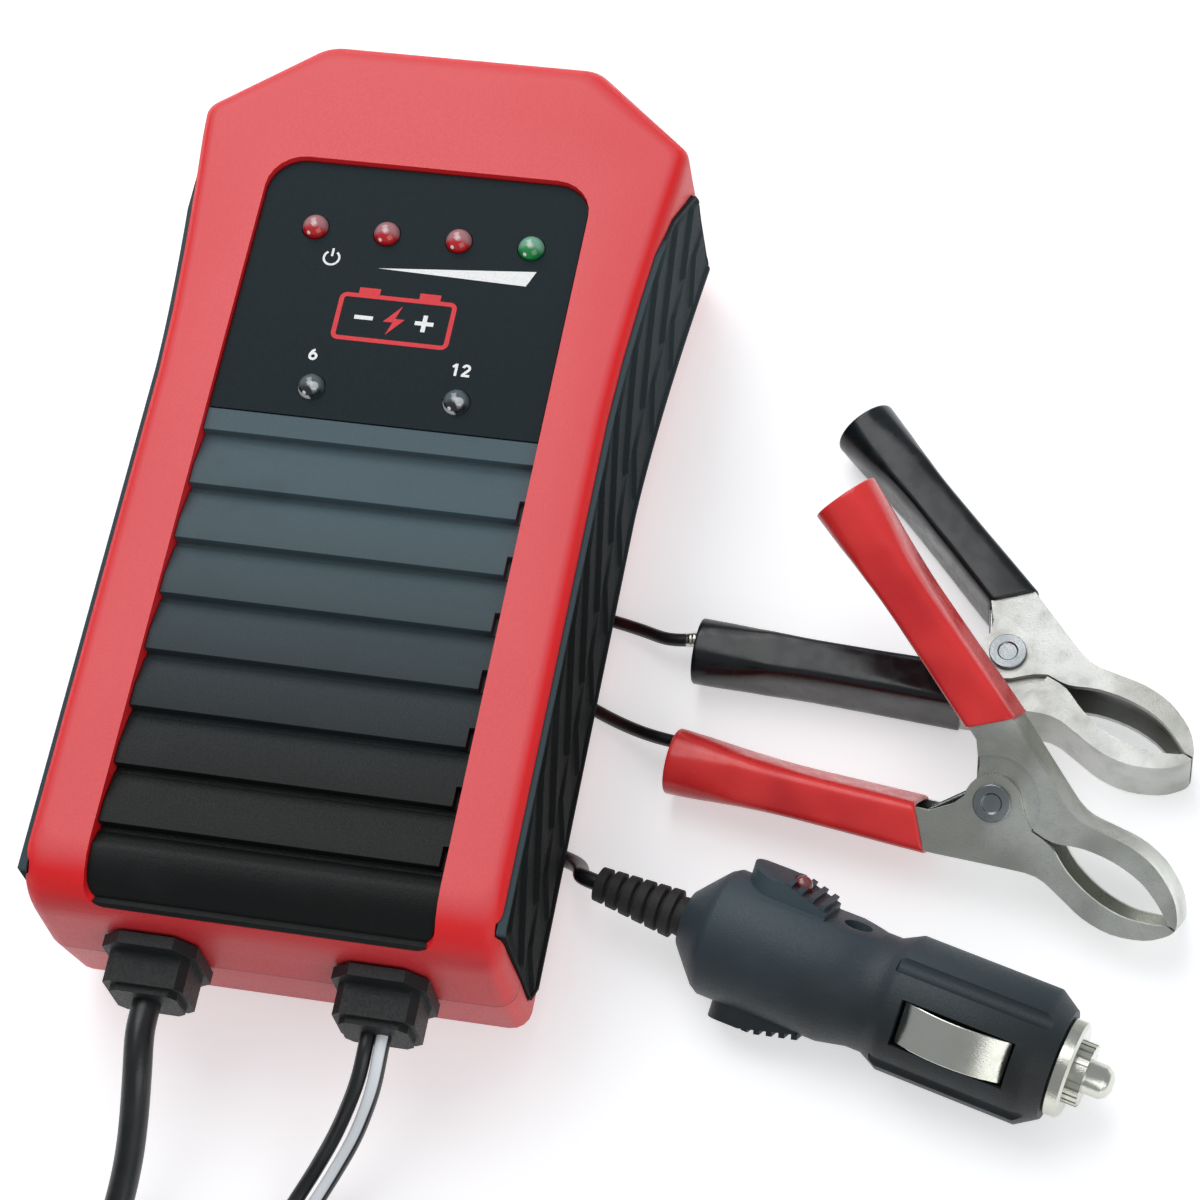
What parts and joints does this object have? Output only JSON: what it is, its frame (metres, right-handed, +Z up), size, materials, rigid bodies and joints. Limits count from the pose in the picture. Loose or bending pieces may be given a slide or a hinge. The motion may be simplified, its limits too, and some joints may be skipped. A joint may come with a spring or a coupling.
{
  "type": "car battery charger",
  "caption": "Small mains battery charger with red case, black window panel, lamps, rubber grips, coiled leads, two battery clips and an accessory-socket plug.",
  "frame": {"origin": "on the ground under the middle of the case, which lies on its back on its feet; the leads and what is on them are left out of the box", "axes": "+X to the case's right as its front is read, +Y from the lead end towards the head, +Z up out of the front"},
  "size_m": [0.2337, 0.2812, 0.0433],
  "materials": {
    "case_red": "satin moulded plastic",
    "insert_black": "fine grained",
    "label": "gloss printed film",
    "rubber": "matt",
    "lamp_red": "diffused",
    "lamp_green": "diffused",
    "lamp_clear": "clear",
    "board": "solder mask",
    "iron": "varnished laminations",
    "copper": "enamelled copper",
    "steel": "zinc plated",
    "chrome": "bright nickel",
    "aluminium": "extruded",
    "can": "shrink sleeve",
    "glass_tube": "clear",
    "lead_black": "soft insulation",
    "wire_red": "soft insulation",
    "sleeve_red": "soft vinyl"
  },
  "bodies": {
    "charger": {"front_shell": "case_red", "rear_shell": "case_red", "front_panel": "insert_black", "label_plate": "label", "grip_left": "rubber", "grip_right": "rubber", "charge_lamps": "lamp_red", "full_lamp": "lamp_green", "voltage_lamps": "lamp_clear", "lamp_board": "board", "main_board": "board", "transformer_core": "iron", "transformer_winding": "copper", "bridge_rectifier": "insert_black", "capacitors": "can", "mains_fuse": "glass_tube", "heatsink": "aluminium", "power_transistors": "insert_black", "control_chip": "insert_black", "case_screws": "steel", "board_screws": "steel", "rubber_feet": "rubber", "mains_gland": "insert_black", "output_gland": "insert_black", "inner_wires": "wire_red", "mains_lead": "lead_black", "mains_lead_coil": "lead_black", "mains_plug_body": "lead_black", "mains_plug_pins": "chrome", "output_lead": "lead_black", "output_lead_coil": "lead_black", "output_connector": "lead_black", "coil_ties": "lead_black", "adapter_connectors": "lead_black", "black_wire": "lead_black", "red_wire": "lead_black", "black_fixed_jaw": "steel", "black_rivet": "steel", "black_spring": "steel", "black_fixed_sleeve": "lead_black", "red_fixed_jaw": "steel", "red_rivet": "steel", "red_spring": "steel", "red_fixed_sleeve": "sleeve_red", "plug_top_shell": "insert_black", "plug_bottom_shell": "insert_black", "plug_relief": "rubber", "plug_tip_spring": "steel", "plug_lamp": "lamp_red", "plug_screw": "steel", "plug_lead": "lead_black"},
    "black_jaw": {"black_moving_jaw": "steel", "black_moving_sleeve": "lead_black"},
    "red_jaw": {"red_moving_jaw": "steel", "red_moving_sleeve": "sleeve_red"},
    "tip": {"plug_tip_pin": "chrome", "plug_fuse": "glass_tube"},
    "nose_ring": {"plug_nose_ring": "chrome"},
    "upper_contact": {"plug_upper_contact": "chrome"},
    "lower_contact": {"plug_lower_contact": "chrome"}
  },
  "joints": [
    {"name": "black_clip_open", "type": "hinge", "parent": "charger", "child": "black_jaw", "pos_m": [0.0995, -0.005, 0.0059], "axis": [0, 0, 1], "range_deg": [0, 30], "stiffness_Nm_per_rad": 0.3, "springref_deg": -17.19, "deforming": ["black_spring"]},
    {"name": "red_clip_open", "type": "hinge", "parent": "charger", "child": "red_jaw", "pos_m": [0.10146, -0.02975, 0.01148], "axis": [-0.1111, -0.518, 0.8481], "range_deg": [0, 30], "stiffness_Nm_per_rad": 0.3, "springref_deg": -17.19, "deforming": ["red_spring"]},
    {"name": "plug_tip_press", "type": "slide", "parent": "charger", "child": "tip", "axis": [-0.969, 0.247, 0], "range_m": [0, 0.0025], "stiffness_N_per_m": 1500, "springref_m": -0.001, "deforming": ["plug_tip_spring"]},
    {"name": "upper_contact_press", "type": "slide", "parent": "charger", "child": "upper_contact", "axis": [0.1417, 0.5558, -0.8192], "range_m": [0, 0.0012], "stiffness_N_per_m": 2000, "springref_m": -0.0005},
    {"name": "lower_contact_press", "type": "slide", "parent": "charger", "child": "lower_contact", "axis": [-0.1417, -0.5558, 0.8192], "range_m": [0, 0.0012], "stiffness_N_per_m": 2000, "springref_m": -0.0005},
    {"name": "nose_ring_turn", "type": "hinge", "parent": "charger", "child": "nose_ring", "pos_m": [0.11675, -0.07037, 0.0106], "axis": [0.969, -0.247, 0], "continuous": true}
  ]
}
